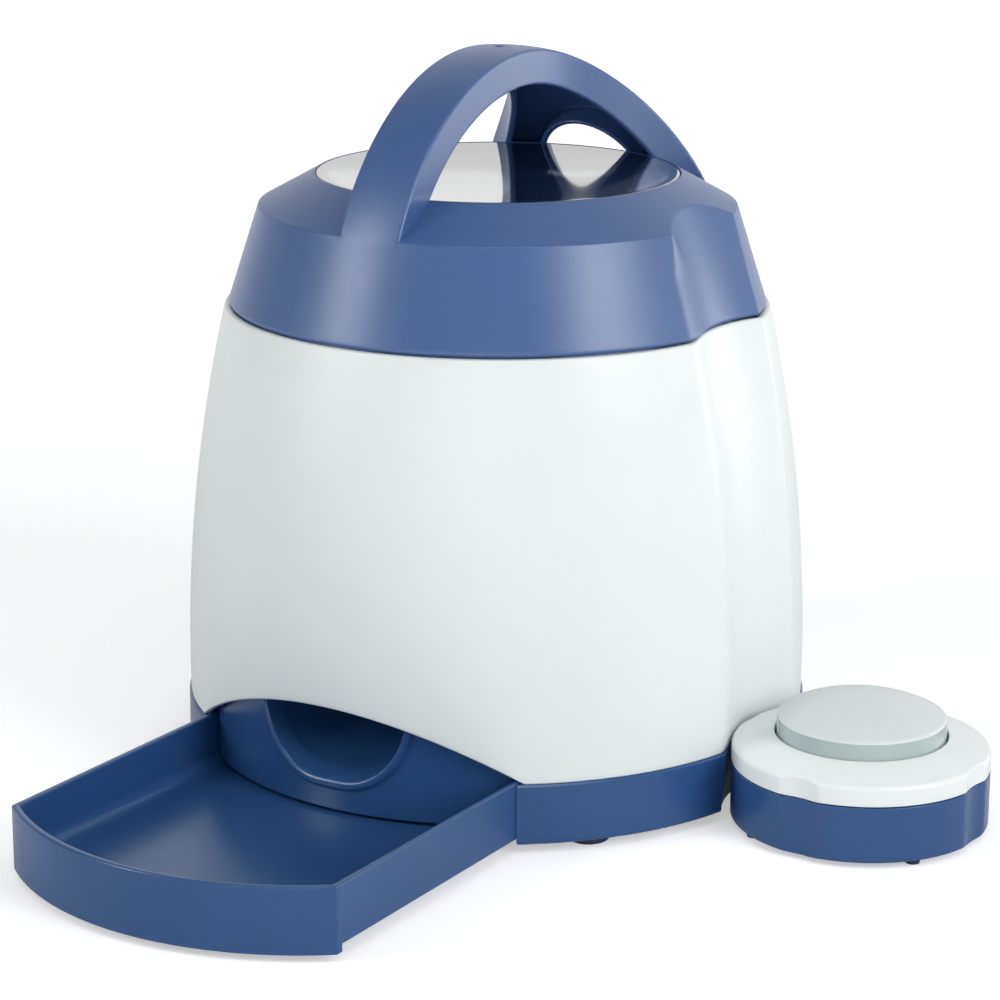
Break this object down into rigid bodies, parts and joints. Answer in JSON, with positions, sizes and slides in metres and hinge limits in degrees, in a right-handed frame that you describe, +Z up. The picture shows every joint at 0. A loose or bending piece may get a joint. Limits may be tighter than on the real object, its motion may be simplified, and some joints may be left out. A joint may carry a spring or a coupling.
{
  "type": "treat dispenser puzzle toy",
  "caption": "Barrel-shaped treat dispenser for dogs with a lift-off lid and arched handle, a pull-out tray under a chute, and a round wireless push button that docks in its side.",
  "frame": {"origin": "on the floor, under the axis of the dispenser's body", "axes": "+Z up, -Y towards the front where the tray pulls out, +X towards the docked push button"},
  "size_m": [0.2929, 0.3216, 0.2492],
  "materials": {
    "lid_blue": "fine spark-eroded satin",
    "deep_blue": "smooth moulded",
    "shell_white": "satin",
    "ring_white": "smooth moulded",
    "inner_white": "moulded",
    "clear": "polished clear",
    "frosted": "frosted translucent",
    "rubber": "matt",
    "steel": "plain",
    "board_green": "solder mask",
    "cell_wrap": "wrapped",
    "black_plastic": "moulded"
  },
  "bodies": {
    "dispenser": {"base_pan": "deep_blue", "bay_roof": "inner_white", "rubber_feet": "rubber", "body_shell": "shell_white", "base_screws": "steel", "chute_wall": "deep_blue", "chute_duct": "deep_blue", "food_hopper": "inner_white", "portion_guard": "inner_white", "motor_bracket": "steel", "drive_motor": "steel", "control_board": "board_green", "sounder": "black_plastic", "battery_cells": "cell_wrap", "battery_contacts": "steel", "battery_cover": "deep_blue", "battery_cover_screw": "steel", "switch_body": "black_plastic"},
    "lid": {"lid": "lid_blue", "window_pane": "clear"},
    "tray": {"tray": "deep_blue"},
    "wheel": {"dosing_wheel": "deep_blue", "drive_shaft": "steel", "drive_gear": "inner_white"},
    "pinion": {"motor_pinion": "inner_white"},
    "switch": {"switch_knob": "black_plastic"},
    "button": {"button_cup": "deep_blue", "button_feet": "rubber", "button_ring": "ring_white", "button_screws": "steel", "button_board": "board_green", "push_switch": "black_plastic", "status_led": "inner_white", "return_spring": "steel", "button_cells": "cell_wrap", "button_contacts": "steel", "button_cover": "deep_blue", "button_cover_screw": "steel"},
    "cap": {"cap_carrier": "inner_white", "dome_cap": "frosted"}
  },
  "joints": [
    {"name": "lid_lift", "type": "slide", "parent": "dispenser", "child": "lid", "axis": [0, 0, 1], "range_m": [0, 0.12]},
    {"name": "tray_slide", "type": "slide", "parent": "dispenser", "child": "tray", "axis": [0, 1, 0], "range_m": [0, 0.103]},
    {"name": "wheel_spin", "type": "hinge", "parent": "dispenser", "child": "wheel", "pos_m": [0, 0, 0.1], "axis": [0, 0, 1], "continuous": true},
    {"name": "pinion_spin", "type": "hinge", "parent": "dispenser", "child": "pinion", "pos_m": [0, 0.035, 0.083], "axis": [0, 0, 1], "continuous": true},
    {"name": "switch_slide", "type": "slide", "parent": "dispenser", "child": "switch", "axis": [0, 1, 0], "range_m": [0, 0.004]},
    {"name": "button_undock", "type": "slide", "parent": "dispenser", "child": "button", "axis": [1, 0, 0], "range_m": [0, 0.25]},
    {"name": "cap_press", "type": "slide", "parent": "button", "child": "cap", "axis": [0, 0, -1], "range_m": [0, 0.003], "stiffness_N_per_m": 600, "springref_m": -0.003, "deforming": ["return_spring"]}
  ],
  "couplings": [
    {"joint": "pinion_spin", "follows": "wheel_spin", "ratio": -2.5}
  ]
}
